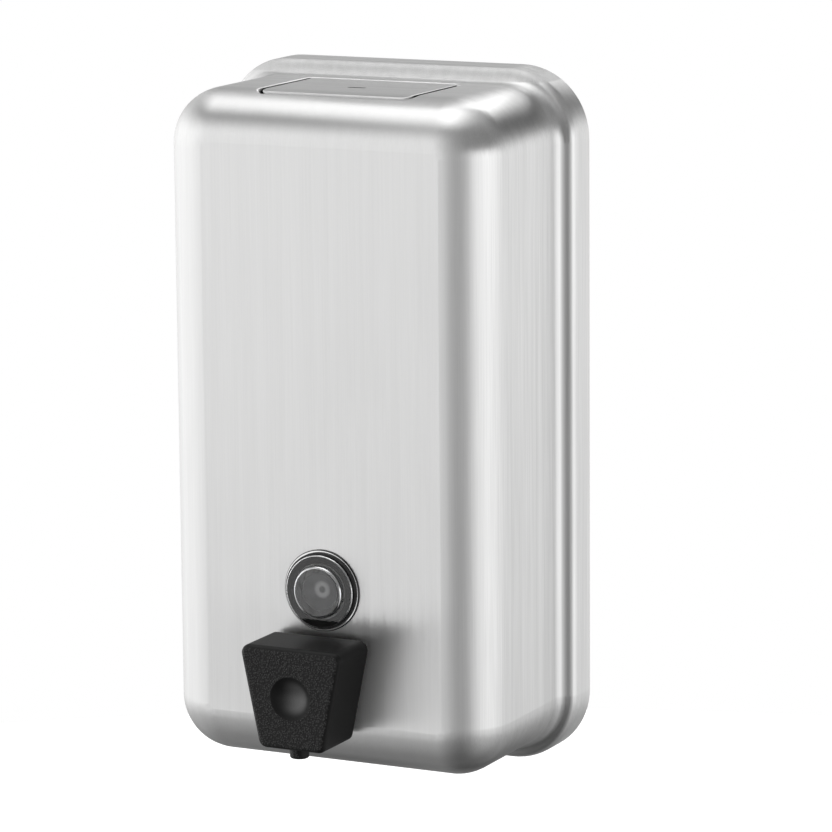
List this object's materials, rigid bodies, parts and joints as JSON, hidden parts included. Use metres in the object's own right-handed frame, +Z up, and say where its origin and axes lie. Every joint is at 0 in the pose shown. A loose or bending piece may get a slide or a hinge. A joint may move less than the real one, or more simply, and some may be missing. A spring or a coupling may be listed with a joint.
{
  "type": "soap dispenser",
  "caption": "Wall-mounted soap dispenser: brushed steel tank with a hinged, key-latched filler lid on top, a round sight gauge and a push-button pump with a spout below it.",
  "frame": {"origin": "middle of the wall screw pattern, on the wall plane", "axes": "+Z up, the wall is the plane y = 0 and the room lies towards -Y, +X to the right seen from the room"},
  "size_m": [0.1138, 0.0821, 0.2054],
  "materials": {
    "shell_steel": "brushed from top to bottom",
    "plain_steel": "plain mill finish",
    "bezel_steel": "polished",
    "spring_steel": "drawn wire and strip",
    "lens_plastic": "clear, smoky against the dark tank behind it",
    "black_rubber": "matt",
    "black_plastic": "grained front, satin sides",
    "white_plastic": "plain moulded"
  },
  "bodies": {
    "housing": {"body_shell": "shell_steel", "back_plate": "plain_steel", "hanger_cleat": "plain_steel", "wall_bracket": "plain_steel", "clinch_nut": "plain_steel", "locking_screw": "plain_steel", "hinge_body_leaf": "plain_steel", "hinge_pin": "plain_steel", "sight_bezel": "bezel_steel", "sight_gasket": "black_rubber", "sight_lens": "lens_plastic", "sight_washer": "black_rubber", "sight_nut": "white_plastic", "valve_cylinder": "white_plastic", "cylinder_cap": "white_plastic", "inlet_flap": "black_rubber", "valve_gasket": "black_rubber", "valve_washer": "black_plastic", "valve_nut": "black_plastic", "rod_seal": "black_rubber", "return_spring": "spring_steel"},
    "lid": {"filler_lid": "shell_steel", "hinge_lid_leaf": "plain_steel", "latch_spring": "spring_steel", "latch_studs": "plain_steel"},
    "pump": {"push_button": "black_plastic", "spout": "black_plastic", "duckbill": "black_rubber", "plunger": "white_plastic", "u_packing": "black_rubber"}
  },
  "joints": [
    {"name": "push", "type": "slide", "parent": "housing", "child": "pump", "axis": [0, 1, 0], "range_m": [0, 0.0028], "stiffness_N_per_m": 1200, "deforming": ["return_spring"]},
    {"name": "lid_hinge", "type": "hinge", "parent": "housing", "child": "lid", "pos_m": [0, -0.0207, 0.0958], "axis": [-1, 0, 0], "range_deg": [0, 100], "deforming": ["latch_spring"]}
  ]
}
